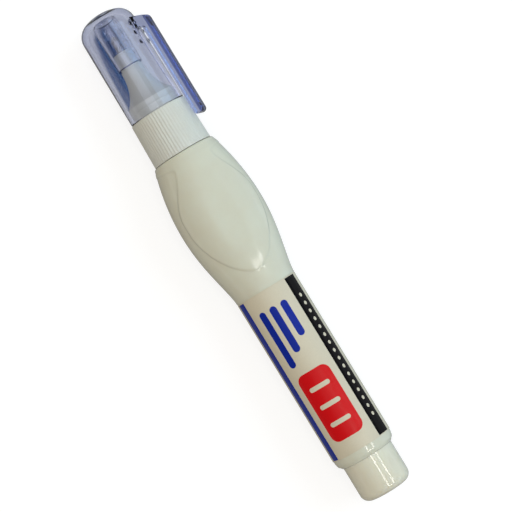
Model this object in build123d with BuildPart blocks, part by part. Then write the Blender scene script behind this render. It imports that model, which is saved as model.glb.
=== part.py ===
from build123d import *
from math import cos, sin, sqrt, tau
import os

# Squeeze correction pen, lying on the flat of a thumb pad of its oval belly. All sizes are in millimetres.
# The pen's axis runs along +X, from the tail plug to the cap's dome. Z is up, and the clip is on the -Y side.

# Fits between pieces
press_fit = 0.02            # radial room of pieces that are pushed together for good
running_fit = 0.06          # radial room of pieces that slide on each other
seam_gap = 0.1              # along the pen, where one moulding meets the next
overrun = 1.0               # how far cuts run past what they cut

# Tail plug
plug_step = 1.3             # how much less the plug's radius is than the barrel's
plug_length = 10.4          # the part that stands out of the barrel
plug_end_round = 2.3
plug_wall = 1.2
plug_floor = 1.7
stub_length = 5.6
stub_bead_height = 0.3
stub_bead_length = 1.1

# Squeeze bottle
barrel_radius = 8.2
barrel_length = 48.9
barrel_wall = 1.15
barrel_end_length = 2.7     # the rounded stretch at the barrel's end
barrel_end_drop = 0.8       # how much the radius falls over it
barrel_end_round = 0.6
lip_length = 3.2            # the thick ring at the barrel's end that grips the plug
lip_depth = 0.75            # how far the ring stands in from the barrel's bore
belly_half_width = 11.38
belly_half_depth = 9.1
belly_back_length = 21.2    # from the barrel to the widest place
belly_front_length = 18.7   # from the widest place to the shoulder
belly_wall = 1.15
shoulder_radius = 8.4
shoulder_round = 0.7
neck_radius = 5.6
neck_length = 10.6
neck_wall = 1.2
neck_bead_height = 0.25
neck_bead_length = 1.2
neck_bead_place = 6.6       # from the shoulder to the bead
belly_ease_share = 1.5      # power that eases the belly out of the straight barrel
belly_back_steps = 4
belly_front_steps = 3

# Thumb pads, one on each face of the belly
pad_rise = 0.4
pad_flat_share = 0.875      # how much of the rise the pad's crown loses to its flat
pad_half_width = 9.8
pad_back_length = 16.1      # from the belly's widest place to the pad's rounded tip
pad_sink_share = 1.2        # how the pad runs into the shoulder: above 1 it sinks in before the end
pad_back_shares = ((0.93, 0.28), (0.67, 0.66), (0.36, 0.89))
pad_front_shares = ((0.13, 1.00), (0.68, 0.58), (0.90, 0.46), (1.00, 0.44))

# Printed film label
film = 0.125
label_place = 0.1           # from the barrel's rounded end to the label

# Nozzle with its ribbed collar
collar_base_radius = 8.05
collar_front_radius = 7.73
collar_length = 12.0
rib_count = 60
rib_depth = 0.09
land_radius = 6.3
land_length = 3.7
land_bead_height = 0.14
land_bead_length = 0.8
land_bead_place = 1.7
cone_length = 9.2
cone_tip_radius = 3.0
cone_mid_shares = (0.39, 0.69)
nose_radius = 2.65
nose_length = 4.6
nose_round = 0.5
chamber_radius = 1.9
chamber_length = 12.0

# Stainless writing tip
tube_radius = 1.05
tube_bore_radius = 0.6
tube_reach = 4.4            # how far the tube stands out of the nose
tube_flange_radius = 1.6
tube_flange_length = 0.6
tube_cone_length = 1.0
tube_mouth_radius = 0.34
tube_mouth_rim = 0.22
tube_mouth_length = 0.6
tube_seat_length = 0.8

# Valve needle and its spring
pin_radius = 0.5
pin_tip_radius = 0.27
pin_reach = 0.45            # how far the needle stands out of the tube
pin_cone_length = 0.8
pin_collar_radius = 1.4
pin_collar_length = 0.8
pin_seat_gap = 0.05         # along the pen, between the needle's cone and the tube's seat
pin_tail_radius = 0.45
pin_tail_length = 5.6
spring_length = 4.2
spring_radius = 1.0         # to the middle of the wire
spring_wire_radius = 0.13
spring_wire_sides = 8
spring_turns = 5
arcs_per_turn = 4

# Spring retainer
retainer_flange_radius = 3.2
retainer_flange_length = 0.9
retainer_plug_length = 1.9
retainer_hole_radius = 0.42
retainer_hole_circle = 1.15
retainer_hole_count = 3

# Mixing ball
ball_radius = 2.4
ball_place = 23.0           # from the tail end to the ball's centre
ball_gap = 0.08             # between the ball and the barrel's lowest line

# Clear cap
cap_gap = 0.2
cap_length = 28.5
cap_wall = 1.07             # at the mouth
cap_taper = 0.19            # how much the radius falls from the mouth to the shoulder
cap_crown_radius = 13.0
cap_corner_round = 4.35
cap_mouth_depth = 4.2       # the straight part of the bore, over the nozzle's land
cap_bore_step = 0.15
cap_top_wall = 1.63         # at the shoulder
cap_roof = 1.9
cap_ceiling_round = 3.3
cap_mouth_round = 0.3
sleeve_wall = 0.69
sleeve_length = 13.4
sleeve_lead = 0.3           # bevel inside the sleeve's mouth

# Pocket clip on the cap
clip_turn = 157.5           # degrees about the pen's axis, from +Y over the top
clip_width = 5.5
clip_thickness = 2.2
clip_gap = 0.95             # between the clip and the cap's mouth
clip_overhang = 6.2         # how far the clip reaches past the cap's mouth
clip_top_place = 4.9        # from the cap's top down to the clip's upper edge
clip_bridge_length = 3.4
clip_slope = 1.5            # how much lower the clip's outer corner is than its upper edge
clip_corner_round = 1.4
clip_inner_round = 0.8
clip_end_round = 1.05
clip_edge_round = 0.35
clip_bead_radius = 0.45
clip_bead_sink = 0.15
clip_bead_place = 2.4       # from the clip's end to its grip bead
clip_root_sink = 0.5

# Pips beside the clip
pip_radius = 0.7
pip_height = 0.4
pip_turn = 25.0
pip_pitch = 2.7
pip_count = 3
pip_place = 6.4             # from the cap's top to the first pip

# Places along the pen, measured from its tail end
barrel_end = plug_length
belly_start = barrel_end + barrel_length
label_start = barrel_end + barrel_end_length + label_place
label_length = belly_start - seam_gap - label_start
belly_peak = belly_start + belly_back_length
shoulder = belly_peak + belly_front_length
neck_end = shoulder + neck_length
collar_base = shoulder + seam_gap
collar_front = collar_base + collar_length
land_end = collar_front + land_length
cone_end = land_end + cone_length
nose_end = cone_end + nose_length
tube_end = nose_end + tube_reach
cap_mouth = collar_front + cap_gap
cap_top = cap_mouth + cap_length
cap_ceiling = cap_top - cap_roof
socket_end = neck_end + seam_gap
chamber_end = socket_end + chamber_length
retainer_front = socket_end + retainer_plug_length
pin_collar_back = retainer_front + spring_length
pin_collar_front = pin_collar_back + pin_collar_length
tube_seat_end = tube_end - tube_mouth_length
tube_seat_start = tube_seat_end - tube_seat_length

# Radii that follow from a fit
barrel_bore_radius = barrel_radius - barrel_wall
plug_radius = barrel_radius - plug_step
stub_radius = barrel_bore_radius - lip_depth
belly_start_radius = barrel_radius + film
lip_bore_radius = stub_radius + press_fit
neck_bore_radius = neck_radius - neck_wall
land_bead_radius = land_radius + land_bead_height
cap_bore_radius = land_bead_radius + running_fit
cap_mouth_radius = cap_bore_radius + cap_wall
cap_shoulder_radius = cap_mouth_radius - cap_taper
cap_bore_top_radius = cap_shoulder_radius - cap_top_wall
sleeve_bore_radius = nose_radius + running_fit
sleeve_radius = sleeve_bore_radius + sleeve_wall
clip_inner_radius = cap_mouth_radius + clip_gap
clip_outer_radius = clip_inner_radius + clip_thickness

axis_height = belly_half_depth + pad_rise * (1 - pad_flat_share)
half_length = cap_top / 2
pen = Plane(origin=(-half_length, 0, axis_height))
pen_axis = Axis(pen.origin, pen.x_dir)


def station(distance):
    """Plane across the pen at a distance from its tail end, with its own x along +Y."""
    return Plane(origin=(distance - half_length, 0, axis_height), x_dir=(0, 1, 0), z_dir=(1, 0, 0))


def belly_swell(distance):
    """Radius at the near end of the belly, and the share of the full swell reached at a distance."""
    if distance < belly_peak:
        along = (belly_peak - distance) / belly_back_length
        return belly_start_radius, max(1 - along**2, 0) ** belly_ease_share
    along = (distance - belly_peak) / belly_front_length
    return shoulder_radius, 1 - along**2


def belly_half_sizes(distance, rise=0):
    """Half width and half depth of the belly's oval at a distance from the tail end."""
    end_radius, swell = belly_swell(distance)
    half_width = end_radius + (belly_half_width - end_radius) * swell
    half_depth = end_radius + (belly_half_depth - end_radius) * swell
    return half_width + rise, half_depth + rise


def belly_stations(front_end):
    """Distances of the ovals that shape the belly, from the barrel to front_end."""
    back = [belly_start + belly_back_length * i / belly_back_steps for i in range(belly_back_steps)]
    reach = front_end - belly_peak
    return back + [belly_peak + reach * i / belly_front_steps for i in range(belly_front_steps + 1)]


def pad_rise_at(distance):
    """How far the pad stands over the belly: even behind the widest place, sinking in towards the shoulder."""
    if distance < belly_peak:
        return pad_rise
    along = (distance - belly_peak) / belly_front_length
    return pad_rise * (1 - pad_sink_share * along**2)


def rib_outline(crest_radius):
    """Corners of the ribbed collar's outline, crests and valleys in turn."""
    turn = tau / (2 * rib_count)
    corners = []
    for i in range(2 * rib_count):
        radius = crest_radius - rib_depth * (i % 2)
        corners.append((radius * cos(turn * i), radius * sin(turn * i)))
    return corners


def coil_point(turn):
    """Middle of the spring's wire after a number of turns, and the wire's direction there."""
    start = retainer_front + spring_wire_radius
    pitch = (spring_length - 2 * spring_wire_radius) / spring_turns
    angle = tau * turn
    point = Vector(start + pitch * turn - half_length, spring_radius * cos(angle),
                   axis_height + spring_radius * sin(angle))
    heading = Vector(pitch / tau, -spring_radius * sin(angle), spring_radius * cos(angle))
    return point, heading.normalized()


# Blank of both thumb pads: a slightly larger belly, cut to the pad's outline seen from above and flat at its crown
with BuildPart() as pad_blank:
    for distance in belly_stations(shoulder):
        with BuildSketch(station(distance)):
            Ellipse(*belly_half_sizes(distance, pad_rise_at(distance)))
    loft()
    with BuildSketch(pen):
        with BuildLine():
            edge_points = [(belly_peak - pad_back_length, 0)]
            for along_share, out_share in pad_back_shares:
                edge_points.append((belly_peak - pad_back_length * along_share, pad_half_width * out_share))
            for along_share, out_share in pad_front_shares:
                edge_points.append((belly_peak + belly_front_length * along_share, pad_half_width * out_share))
            edge = Spline(*edge_points, tangents=((0, 1), (1, 0)))
            Line(edge @ 1, ((edge @ 1).X, 0))
            mirror(about=Plane.XZ)
        make_face()
    extrude(amount=axis_height, both=True, mode=Mode.INTERSECT)

# Squeeze bottle
with BuildPart() as body:
    with BuildSketch(pen):
        with BuildLine():
            round_start = (barrel_end + barrel_end_length, barrel_radius)
            round_end = (barrel_end, barrel_radius - barrel_end_drop)
            Polyline(
                round_start,
                (belly_start + overrun, barrel_radius),
                (belly_start + overrun, 0),
                (barrel_end, 0),
                round_end,
            )
            TangentArc(round_start, round_end, tangent=(-1, 0))
        make_face()
    revolve(axis=pen_axis)
    fillet(body.edges().group_by(Axis.X)[0], radius=barrel_end_round)
    for distance in belly_stations(shoulder):
        with BuildSketch(station(distance)):
            Ellipse(*belly_half_sizes(distance))
    loft()
    fillet(body.edges().group_by(Axis.X)[-1], radius=shoulder_round)
    add(pad_blank.part)
    with BuildSketch(pen):
        with BuildLine():
            Polyline(
                (belly_peak, 0),
                (belly_peak, neck_radius),
                (shoulder + neck_bead_place, neck_radius),
                (shoulder + neck_bead_place, neck_radius + neck_bead_height),
                (shoulder + neck_bead_place + neck_bead_length, neck_radius),
                (neck_end, neck_radius),
                (neck_end, 0),
                close=True,
            )
        make_face()
    revolve(axis=pen_axis)
    cavity_end = shoulder - belly_wall
    for distance in belly_stations(cavity_end):
        with BuildSketch(station(distance)):
            Ellipse(*belly_half_sizes(distance, -belly_wall))
    loft(mode=Mode.SUBTRACT)
    with BuildSketch(pen):
        with BuildLine():
            Polyline(
                (barrel_end - overrun, 0),
                (barrel_end - overrun, lip_bore_radius),
                (barrel_end + lip_length, lip_bore_radius),
                (barrel_end + lip_length, barrel_bore_radius),
                (belly_start + overrun, barrel_bore_radius),
                (belly_start + overrun, neck_bore_radius),
                (neck_end + overrun, neck_bore_radius),
                (neck_end + overrun, 0),
                close=True,
            )
        make_face()
    revolve(axis=pen_axis, mode=Mode.SUBTRACT)
body.part.label = "body"

# Printed film label
with BuildPart() as label:
    with BuildSketch(pen):
        with Locations((label_start, barrel_radius)):
            Rectangle(label_length, film, align=(Align.MIN, Align.MIN))
    revolve(axis=pen_axis)
label.part.label = "label"

# Tail plug: a cup whose stub snaps in behind the barrel's lip
with BuildPart() as tail_plug:
    bead_start = barrel_end + lip_length + press_fit
    stub_end = barrel_end + stub_length
    cup_radius = stub_radius - plug_wall
    with BuildSketch(pen):
        with BuildLine():
            Polyline(
                (0, 0),
                (0, plug_radius),
                (barrel_end, plug_radius),
                (barrel_end, stub_radius),
                (bead_start, stub_radius),
                (bead_start, stub_radius + stub_bead_height),
                (bead_start + stub_bead_length, stub_radius),
                (stub_end, stub_radius),
                (stub_end, cup_radius),
                (plug_floor, cup_radius),
                (plug_floor, 0),
                close=True,
            )
        make_face()
    revolve(axis=pen_axis)
    fillet(tail_plug.edges().group_by(Axis.X)[0], radius=plug_end_round)
tail_plug.part.label = "tail_plug"

# Nozzle: ribbed collar, land for the cap, hollow-sided cone and nose
with BuildPart() as nozzle:
    for distance, crest_radius in ((collar_base, collar_base_radius), (collar_front, collar_front_radius)):
        with BuildSketch(station(distance)):
            with BuildLine():
                Polyline(*rib_outline(crest_radius), close=True)
            make_face()
    loft(ruled=True)
    bead_start = collar_front + land_bead_place
    bead_peak = bead_start + land_bead_length / 2
    cone_mid = (
        land_end + cone_length * cone_mid_shares[0],
        land_radius - (land_radius - cone_tip_radius) * cone_mid_shares[1],
    )
    with BuildSketch(pen):
        with BuildLine():
            Polyline(
                (land_end, land_radius),
                (bead_start + land_bead_length, land_radius),
                (bead_peak, land_bead_radius),
                (bead_start, land_radius),
                (collar_base, land_radius),
                (collar_base, 0),
                (nose_end, 0),
                (nose_end, nose_radius - nose_round),
            )
            RadiusArc((nose_end, nose_radius - nose_round), (nose_end - nose_round, nose_radius), -nose_round)
            Polyline(
                (nose_end - nose_round, nose_radius),
                (cone_end, nose_radius),
                (cone_end, cone_tip_radius),
            )
            ThreePointArc((cone_end, cone_tip_radius), cone_mid, (land_end, land_radius))
        make_face()
    revolve(axis=pen_axis)
    socket_radius = neck_radius + press_fit
    bead_groove_start = shoulder + neck_bead_place - seam_gap
    bead_groove_end = shoulder + neck_bead_place + neck_bead_length + seam_gap
    with BuildSketch(pen):
        with BuildLine():
            Polyline(
                (collar_base - overrun, 0),
                (collar_base - overrun, socket_radius),
                (bead_groove_start, socket_radius),
                (bead_groove_start, socket_radius + neck_bead_height + press_fit),
                (bead_groove_end, socket_radius + neck_bead_height + press_fit),
                (bead_groove_end, socket_radius),
                (socket_end, socket_radius),
                (socket_end, chamber_radius),
                (chamber_end, chamber_radius),
                (chamber_end, tube_radius + press_fit),
                (nose_end + overrun, tube_radius + press_fit),
                (nose_end + overrun, 0),
                close=True,
            )
        make_face()
    revolve(axis=pen_axis, mode=Mode.SUBTRACT)
nozzle.part.label = "nozzle"

# Stainless writing tube, held by its flange at the front of the valve chamber
with BuildPart() as tip_tube:
    flange_back = chamber_end - tube_flange_length
    with BuildSketch(pen):
        with BuildLine():
            Polyline(
                (flange_back, tube_bore_radius),
                (flange_back, tube_flange_radius),
                (chamber_end, tube_flange_radius),
                (chamber_end, tube_radius),
                (tube_end - tube_cone_length, tube_radius),
                (tube_end, tube_mouth_radius + tube_mouth_rim),
                (tube_end, tube_mouth_radius),
                (tube_seat_end, tube_mouth_radius),
                (tube_seat_start, tube_bore_radius),
                close=True,
            )
        make_face()
    revolve(axis=pen_axis)
tip_tube.part.label = "tip_tube"

# Valve needle: its cone closes the tube's seat and its collar takes the spring
with BuildPart() as valve_pin:
    cone_front = tube_seat_end - pin_seat_gap
    cone_back = cone_front - pin_cone_length
    needle_end = tube_end + pin_reach
    with BuildSketch(pen):
        with BuildLine():
            Polyline(
                (pin_collar_back - pin_tail_length, 0),
                (pin_collar_back - pin_tail_length, pin_tail_radius),
                (pin_collar_back, pin_tail_radius),
                (pin_collar_back, pin_collar_radius),
                (pin_collar_front, pin_collar_radius),
                (pin_collar_front, pin_radius),
                (cone_back, pin_radius),
                (cone_front, pin_tip_radius),
                (needle_end - pin_tip_radius, pin_tip_radius),
            )
            RadiusArc((needle_end - pin_tip_radius, pin_tip_radius), (needle_end, 0), pin_tip_radius)
            Line((needle_end, 0), (pin_collar_back - pin_tail_length, 0))
        make_face()
    revolve(axis=pen_axis)
valve_pin.part.label = "valve_pin"

# Valve spring: one wire wound round the needle's tail, each quarter turn drawn as two tangent arcs
with BuildPart() as valve_spring:
    with BuildLine() as coil:
        for i in range(spring_turns * arcs_per_turn):
            start, start_heading = coil_point(i / arcs_per_turn)
            end, end_heading = coil_point((i + 1) / arcs_per_turn)
            chord = end - start
            lean = start_heading + end_heading
            square = lean.dot(lean) - 4
            cross = chord.dot(lean)
            reach = (cross - sqrt(cross**2 - square * chord.dot(chord))) / square
            joint = (start + start_heading * reach + end - end_heading * reach) / 2
            TangentArc(start, joint, tangent=start_heading)
            TangentArc(joint, end, tangent=joint - start - start_heading * reach)
    wire_start, wire_heading = coil_point(0)
    with BuildSketch(Plane(origin=wire_start, x_dir=(0, 1, 0), z_dir=wire_heading)):
        RegularPolygon(spring_wire_radius, spring_wire_sides)
    sweep(path=coil.line)
valve_spring.part.label = "valve_spring"
coil_samples = [coil_point(i / 24)[0] for i in range(24 * spring_turns + 1)]
coil_gaps = [(coil_samples[j] - p).length for i, p in enumerate(coil_samples)
             for j in range(i + 12, len(coil_samples))]
print(f"valve spring: least gap between turns {min(coil_gaps) - 2 * spring_wire_radius:.2f} mm")

# Spring retainer: a flanged plug in the back of the valve chamber, with flow holes round the needle's guide
with BuildPart() as spring_retainer:
    flange_back = socket_end - retainer_flange_length
    guide_radius = pin_tail_radius + running_fit
    with BuildSketch(pen):
        with BuildLine():
            Polyline(
                (flange_back, guide_radius),
                (flange_back, retainer_flange_radius),
                (socket_end, retainer_flange_radius),
                (socket_end, chamber_radius - press_fit),
                (retainer_front, chamber_radius - press_fit),
                (retainer_front, guide_radius),
                close=True,
            )
        make_face()
    revolve(axis=pen_axis)
    with BuildSketch(station(flange_back - overrun)):
        with PolarLocations(retainer_hole_circle, retainer_hole_count):
            Circle(retainer_hole_radius)
    extrude(amount=retainer_front - flange_back + 2 * overrun, mode=Mode.SUBTRACT)
spring_retainer.part.label = "spring_retainer"

# Mixing ball, lying on the barrel's lowest line
with BuildPart() as mixing_ball:
    ball_drop = barrel_bore_radius - ball_radius - ball_gap
    with Locations((ball_place - half_length, 0, axis_height - ball_drop)):
        Sphere(ball_radius)
mixing_ball.part.label = "mixing_ball"

# Blank of the pocket clip: a bar with rounded edges whose upper end turns in to the cap
clip_side = pen.rotated((clip_turn, 0, 0))
clip_top = cap_top - clip_top_place
clip_end = cap_mouth - clip_overhang
with BuildPart() as clip_blank:
    bridge_end = clip_top - clip_bridge_length
    root_radius = cap_shoulder_radius - clip_root_sink
    with BuildSketch(clip_side):
        with BuildLine():
            outline = FilletPolyline(
                (bridge_end, root_radius),
                (bridge_end, clip_inner_radius),
                (clip_end, clip_inner_radius),
                (clip_end, clip_outer_radius),
                (clip_top - clip_slope, clip_outer_radius),
                (clip_top, root_radius),
                radius=(clip_inner_round, clip_end_round, clip_end_round, clip_corner_round),
            )
            Line(outline @ 1, outline @ 0)
        make_face()
    extrude(amount=clip_width / 2, both=True)
    fillet(clip_blank.faces().filter_by(clip_side).edges(), radius=clip_edge_round)
    with BuildSketch(clip_side):
        with Locations((clip_end + clip_bead_place, clip_inner_radius - clip_bead_sink + clip_bead_radius)):
            Circle(clip_bead_radius)
    extrude(amount=clip_width / 2 - clip_edge_round, both=True)

# Clear cap with its inner sealing sleeve, pocket clip and pips
with BuildPart() as cap:
    crown_drop = cap_crown_radius - sqrt(cap_crown_radius**2 - cap_shoulder_radius**2)
    crown_edge = (cap_top - crown_drop, cap_shoulder_radius)
    with BuildSketch(pen) as cap_outline:
        with BuildLine():
            Polyline((cap_top, 0), (cap_mouth, 0), (cap_mouth, cap_mouth_radius), crown_edge)
            RadiusArc(crown_edge, (cap_top, 0), cap_crown_radius)
        make_face()
        outer_corners = cap_outline.vertices().group_by(Axis.Y)
        fillet(outer_corners[-2], radius=cap_corner_round)
        fillet(cap_outline.vertices().group_by(Axis.Y)[-1], radius=cap_mouth_round)
    revolve(axis=pen_axis)
    add(clip_blank.part)
    with BuildSketch(pen) as cap_hollow:
        with BuildLine():
            Polyline(
                (cap_ceiling, 0),
                (cap_mouth - overrun, 0),
                (cap_mouth - overrun, cap_bore_radius),
                (cap_mouth + cap_mouth_depth, cap_bore_radius),
                (cap_mouth + cap_mouth_depth, cap_bore_radius - cap_bore_step),
                (cap_ceiling, cap_bore_top_radius),
                close=True,
            )
        make_face()
        fillet(cap_hollow.vertices().group_by(Axis.X)[-1].sort_by(Axis.Y)[-1:], radius=cap_ceiling_round)
    revolve(axis=pen_axis, mode=Mode.SUBTRACT)
    sleeve_root = cap_ceiling + cap_roof / 2
    sleeve_end = cap_ceiling - sleeve_length
    with BuildSketch(pen):
        with BuildLine():
            Polyline(
                (sleeve_root, sleeve_bore_radius),
                (sleeve_root, sleeve_radius),
                (sleeve_end, sleeve_radius),
                (sleeve_end, sleeve_bore_radius + sleeve_lead),
                (sleeve_end + sleeve_lead, sleeve_bore_radius),
                close=True,
            )
        make_face()
    revolve(axis=pen_axis)
    pip_ball_radius = (pip_radius**2 + pip_height**2) / (2 * pip_height)
    pip_centre_radius = cap_shoulder_radius + pip_height - pip_ball_radius
    pips = []
    for side in (-1, 1):
        pip_side = pen.rotated((clip_turn + side * pip_turn, 0, 0))
        for i in range(pip_count):
            along = cap_top - pip_place - pip_pitch * i
            pips.append(pip_side.from_local_coords((along, pip_centre_radius, 0)))
    with Locations(*pips):
        Sphere(pip_ball_radius)
cap.part.label = "cap"

os.makedirs("parts", exist_ok=True)
for piece in (cap, nozzle, tip_tube, valve_pin, valve_spring, spring_retainer, body, label, tail_plug, mixing_ball):
    export_step(piece.part, f"parts/{piece.part.label}.step")
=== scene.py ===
"""Looks of a squeeze correction pen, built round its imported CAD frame. Lengths are in metres."""
import math

import bpy
from bpy.props import FloatProperty, IntProperty, PointerProperty, StringProperty
from mathutils import Matrix, Vector


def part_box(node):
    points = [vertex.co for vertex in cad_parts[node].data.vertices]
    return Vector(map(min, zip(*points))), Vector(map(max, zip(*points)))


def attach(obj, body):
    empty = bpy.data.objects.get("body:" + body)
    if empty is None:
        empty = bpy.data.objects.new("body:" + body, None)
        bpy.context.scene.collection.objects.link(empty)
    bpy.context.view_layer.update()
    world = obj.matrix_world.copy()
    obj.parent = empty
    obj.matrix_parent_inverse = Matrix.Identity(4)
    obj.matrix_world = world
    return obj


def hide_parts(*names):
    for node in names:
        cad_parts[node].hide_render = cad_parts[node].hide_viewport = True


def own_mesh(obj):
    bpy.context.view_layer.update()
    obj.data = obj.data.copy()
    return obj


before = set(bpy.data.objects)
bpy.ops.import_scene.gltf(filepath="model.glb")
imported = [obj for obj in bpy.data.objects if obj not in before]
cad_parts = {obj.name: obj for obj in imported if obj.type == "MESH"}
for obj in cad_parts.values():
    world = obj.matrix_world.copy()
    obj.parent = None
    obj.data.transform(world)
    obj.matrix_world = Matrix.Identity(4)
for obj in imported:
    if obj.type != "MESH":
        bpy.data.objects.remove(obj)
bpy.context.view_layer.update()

bl_info = {
    "name": "Correction pen",
    "version": (1, 0, 0),
    "blender": (4, 5, 0),
    "location": "View3D > Sidebar > Pen",
    "description": "Models the finish of a squeeze correction pen on its CAD frame",
    "category": "Add Mesh",
}

MM = 0.001
BODY_LOW, BODY_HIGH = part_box("body")
LABEL_LOW, LABEL_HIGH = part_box("label")
PLUG_LOW, PLUG_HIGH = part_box("tail_plug")
NOZZLE_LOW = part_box("nozzle")[0]
SPRING_LOW, SPRING_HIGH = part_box("valve_spring")
AXIS_HEIGHT = (PLUG_LOW.z + PLUG_HIGH.z) / 2
LABEL_RADIUS = (LABEL_HIGH.z - LABEL_LOW.z) / 2

# The bottle leaves a fine gap at the label's end and at the nozzle's collar.
FIT_GAP = 0.1 * MM
BELLY_START = LABEL_HIGH.x + FIT_GAP
SHOULDER = NOZZLE_LOW.x - FIT_GAP

# In new meshes, points this close are merged, and edges up to this angle are smooth.
MERGE_DISTANCE = 0.001 * MM
SMOOTH_ANGLE = math.radians(40)


def length_property(name, description, default):
    """A length that a user may change, in metres."""
    return FloatProperty(name=name, description=description, default=default, unit="LENGTH", precision=5)


def angle_property(name, description, degrees):
    """An angle that a user may change. Its default is given in degrees."""
    return FloatProperty(name=name, description=description, default=math.radians(degrees), subtype="ANGLE")


def colour_property(name, description, default):
    """A colour that a user may change, as an sRGB hex value."""
    return StringProperty(name=name, description=description, default=default, maxlen=7)


class BottleSettings(bpy.types.PropertyGroup):
    """Squeeze bottle with its oval belly and two thumb pads."""

    colour: colour_property("Colour", "Milky white polyethylene", "#d6d7c4")
    film: length_property("Film step", "How much lower the barrel is under the label", 0.125 * MM)
    end_length: length_property("End length", "Length of the barrel's rounded end", 2.7 * MM)
    end_drop: length_property("End drop", "How much the radius falls over the rounded end", 0.8 * MM)
    end_round: length_property("End round", "Small round at the very end", 0.6 * MM)
    wall: length_property("Wall", "Thickness of the bottle's wall", 1.15 * MM)
    lip_bore: length_property("Lip bore", "Radius of the ring that grips the plug", 6.32 * MM)
    lip_length: length_property("Lip length", "Length of the ring that grips the plug", 3.2 * MM)
    belly_depth: length_property("Belly depth", "Half depth of the belly under its pads", 9.1 * MM)
    belly_back: length_property("Belly back", "From the barrel to the belly's widest place", 21.2 * MM)
    shoulder_radius: length_property("Shoulder radius", "Radius where the belly meets the collar", 8.4 * MM)
    shoulder_round: length_property("Shoulder round", "Round at the shoulder's edge", 0.7 * MM)
    neck_radius: length_property("Neck radius", "Radius of the neck inside the collar", 5.6 * MM)
    neck_wall: length_property("Neck wall", "Thickness of the neck's wall", 1.2 * MM)
    pad_rise: length_property("Pad rise", "How far the pads' edges stand over the belly", 0.4 * MM)
    pad_half_width: length_property("Pad half width", "Half width of a pad at its widest", 9.8 * MM)
    pad_back: length_property("Pad back", "From the belly's widest place to the pad's round tip", 16.1 * MM)
    pad_edge: length_property("Pad edge", "Width of the soft step round a pad", 0.55 * MM)
    band_length: length_property("Band length", "Raised band between the pads and the shoulder", 2.9 * MM)
    sides: IntProperty(name="Sides", description="Faces round the bottle", default=240, min=24)
    ring_step: length_property("Ring step", "Distance between the belly's rings", 0.34 * MM)


class LabelSettings(bpy.types.PropertyGroup):
    """Printed film label on the barrel. Along is from its end at the belly, round is from its top."""

    film_colour: colour_property("Film", "Unprinted white film", "#d3ccb5")
    dark_colour: colour_property("Dark", "Near black ink", "#050509")
    red_colour: colour_property("Red", "Red ink", "#d20a12")
    blue_colour: colour_property("Blue", "Blue ink", "#0a2796")
    end_margin: length_property("End margin", "Unprinted film at the label's ends", 0.25 * MM)
    stripe_round: length_property("Stripe round", "Middle of the dark stripe, round the label", 6.6 * MM)
    stripe_half_width: length_property("Stripe half width", "Half width of the dark stripe", 2.1 * MM)
    stripe_plain: length_property("Stripe plain", "Length of the stripe's ends without dots", 4.0 * MM)
    stripe_corner: length_property("Stripe corner", "Corner radius of the dark stripe", 0.6 * MM)
    dot_radius: length_property("Dot radius", "Radius of the pale dots on the dark stripe", 0.5 * MM)
    dot_pitch: length_property("Dot pitch", "Distance between the dots", 2.3 * MM)
    panel_along: length_property("Panel along", "Middle of the red panel, along the label", 32.5 * MM)
    panel_round: length_property("Panel round", "Middle of the panel and the bars, round it", -2.3 * MM)
    panel_half_length: length_property("Panel half length", "Half length of the red panel", 9.5 * MM)
    panel_half_width: length_property("Panel half width", "Half width of the red panel", 4.7 * MM)
    panel_corner: length_property("Panel corner", "Corner radius of the red panel", 2.2 * MM)
    slot_along: length_property("Slot along", "First pale bar on the panel, along the label", 27.5 * MM)
    slot_pitch: length_property("Slot pitch", "Distance between the pale bars", 5.0 * MM)
    slot_half_length: length_property("Slot half length", "Half length of the pale bars", 2.9 * MM)
    slot_half_width: length_property("Slot half width", "Half width of the pale bars", 0.6 * MM)
    bar_along: length_property("Bar along", "Middle of the longest blue bar, along the label", 12.5 * MM)
    bar_half_length: length_property("Bar half length", "Half length of the longest blue bar", 8.0 * MM)
    bar_step: length_property("Bar step", "Half length that each next blue bar loses", 1.5 * MM)
    bar_pitch: length_property("Bar pitch", "Distance between the blue bars", 3.2 * MM)
    bar_half_width: length_property("Bar half width", "Half width of the blue bars", 0.95 * MM)
    edge_round: length_property("Edge round", "Middle of the blue edge, round the label", -10.4 * MM)
    edge_half_width: length_property("Edge half width", "Half width of the blue edge", 1.4 * MM)
    edge_corner: length_property("Edge corner", "Corner radius of the blue edge", 0.1 * MM)


class PlugSettings(bpy.types.PropertyGroup):
    """Plug in the barrel's end."""

    colour: colour_property("Colour", "Natural polyethylene", "#dfddc9")


class NozzleSettings(bpy.types.PropertyGroup):
    """Nozzle with its ribbed collar, and the retainer inside it."""

    colour: colour_property("Colour", "White polypropylene", "#d4d6cc")


class TipSettings(bpy.types.PropertyGroup):
    """Metal writing tip, needle and mixing ball."""

    steel_colour: colour_property("Steel", "Ground stainless steel", "#a0a1a4")
    ball_colour: colour_property("Ball", "Polished steel", "#c9c9c9")


class SpringSettings(bpy.types.PropertyGroup):
    """Coil spring behind the needle's collar."""

    colour: colour_property("Colour", "Drawn stainless wire", "#9d9da0")
    wire_radius: length_property("Wire radius", "Radius of the spring's wire", 0.13 * MM)
    wire_sides: IntProperty(name="Wire sides", description="Faces round the wire", default=12, min=6)
    turns: IntProperty(name="Turns", description="Turns of the wire", default=5, min=2)
    steps: IntProperty(name="Steps", description="Faces along each turn of the wire", default=40, min=12)


class CapSettings(bpy.types.PropertyGroup):
    """Tinted clear cap."""

    tint: colour_property("Tint", "Colour of the clear plastic's surface", "#ffffff")
    # Painted shade: a deeper tint on the clip's outer face that stands in for its darker look.
    clip_painted_shade: colour_property("Clip tint", "Deeper colour of the clip's outer face", "#5f6aa6")
    dye: colour_property("Dye", "Colour left after light has passed through much of the plastic", "#8698cf")
    depth: FloatProperty(name="Depth", description="Absorption for each metre", default=205.0, min=0.0)


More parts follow.
